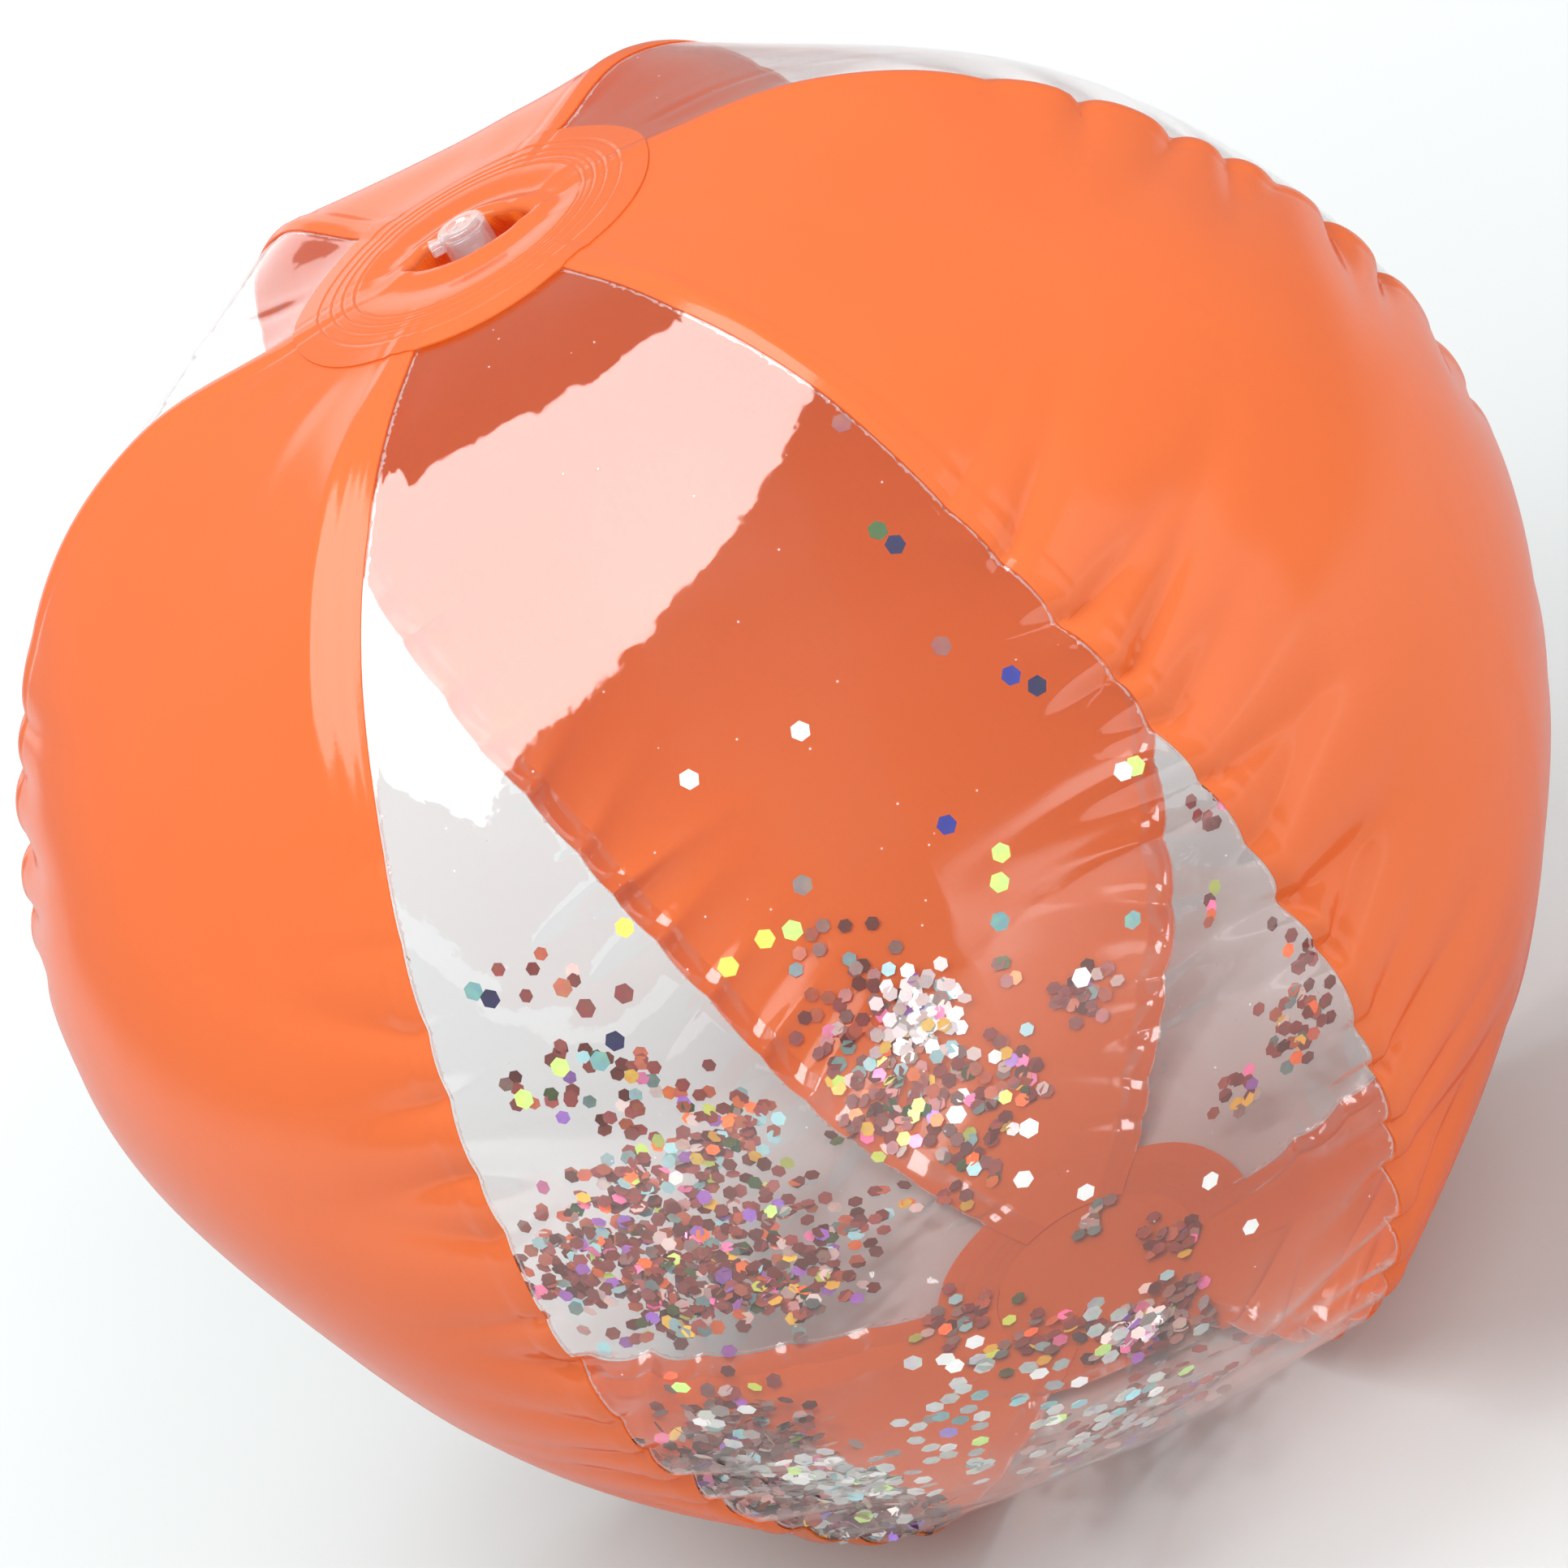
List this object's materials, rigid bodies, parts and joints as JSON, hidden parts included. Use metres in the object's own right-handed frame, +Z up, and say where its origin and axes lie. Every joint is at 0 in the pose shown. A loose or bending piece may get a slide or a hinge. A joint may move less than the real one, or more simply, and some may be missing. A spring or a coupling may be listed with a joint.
{
  "type": "inflatable beach ball",
  "caption": "Inflated ball of welded orange and clear vinyl gores with round end discs, a recessed push-in air valve with a hinged plug, and loose hexagonal glitter inside.",
  "frame": {"origin": "centre of the bottom end disc's flat face, on the pole axis, where the ball rests", "axes": "+Z up the pole axis towards the valve, -Y through the middle of the front clear gore"},
  "size_m": [0.2604, 0.2603, 0.2367],
  "materials": {
    "orange_film": "glossy soft vinyl film, slightly translucent",
    "clear_film": "glossy clear vinyl film",
    "clear_vinyl": "moulded clear soft vinyl",
    "glitter": "metallised film with a colour-shifting holographic coat"
  },
  "bodies": {
    "shell": {"panel_orange_right": "orange_film", "panel_orange_back": "orange_film", "panel_orange_left": "orange_film", "panel_clear_front": "clear_film", "panel_clear_right": "clear_film", "panel_clear_left": "clear_film", "end_disc_top": "orange_film", "end_disc_bottom": "orange_film", "glitter_heap": "glitter", "glitter_front": "glitter", "glitter_left": "glitter", "glitter_back": "glitter", "glitter_right": "glitter", "glitter_bottom": "glitter"},
    "valve": {"valve_stem": "clear_vinyl", "valve_cuff": "orange_film"},
    "plug": {"valve_plug": "clear_vinyl", "plug_strap": "clear_vinyl"},
    "flap": {"check_flap": "clear_vinyl"}
  },
  "joints": [
    {"name": "valve_lift", "type": "slide", "parent": "shell", "child": "valve", "axis": [0, 0, 1], "range_m": [0, 0.012], "deforming": ["valve_cuff"]},
    {"name": "plug_hinge", "type": "hinge", "parent": "valve", "child": "plug", "pos_m": [-0.0056, 0, 0.23586], "axis": [0, -1, 0], "range_deg": [0, 140]},
    {"name": "flap_hinge", "type": "hinge", "parent": "valve", "child": "flap", "pos_m": [-0.0045, 0, 0.22306], "axis": [0, 1, 0], "range_deg": [0, 60], "stiffness_Nm_per_rad": 0.00004}
  ]
}
